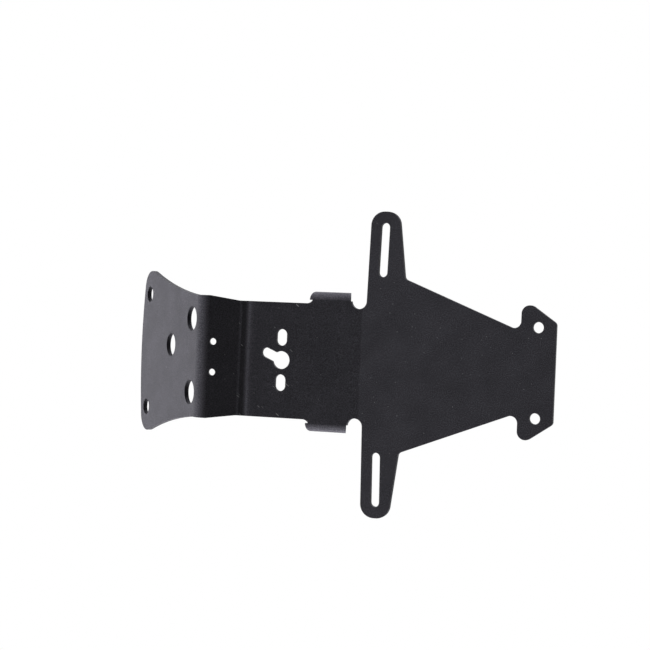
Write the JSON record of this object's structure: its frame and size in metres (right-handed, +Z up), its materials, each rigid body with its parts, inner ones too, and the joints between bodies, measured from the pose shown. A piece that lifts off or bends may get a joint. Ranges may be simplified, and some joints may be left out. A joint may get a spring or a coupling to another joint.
{
  "type": "tail tidy",
  "caption": "Folded sheet bracket that holds a number plate, its light and a reflector behind a motorbike's tail.",
  "frame": {"origin": "rear face of the plate panel, on the centreline, where the lowest fold begins", "axes": "+X to the rear of the bike, out of the face that carries the plate; +Y across the bike; +Z up"},
  "size_m": [0.0753, 0.198, 0.316],
  "materials": {
    "black_powder_coat": "satin powder coat"
  },
  "bodies": {
    "root": {"tail_bracket": "black_powder_coat"}
  },
  "joints": []
}
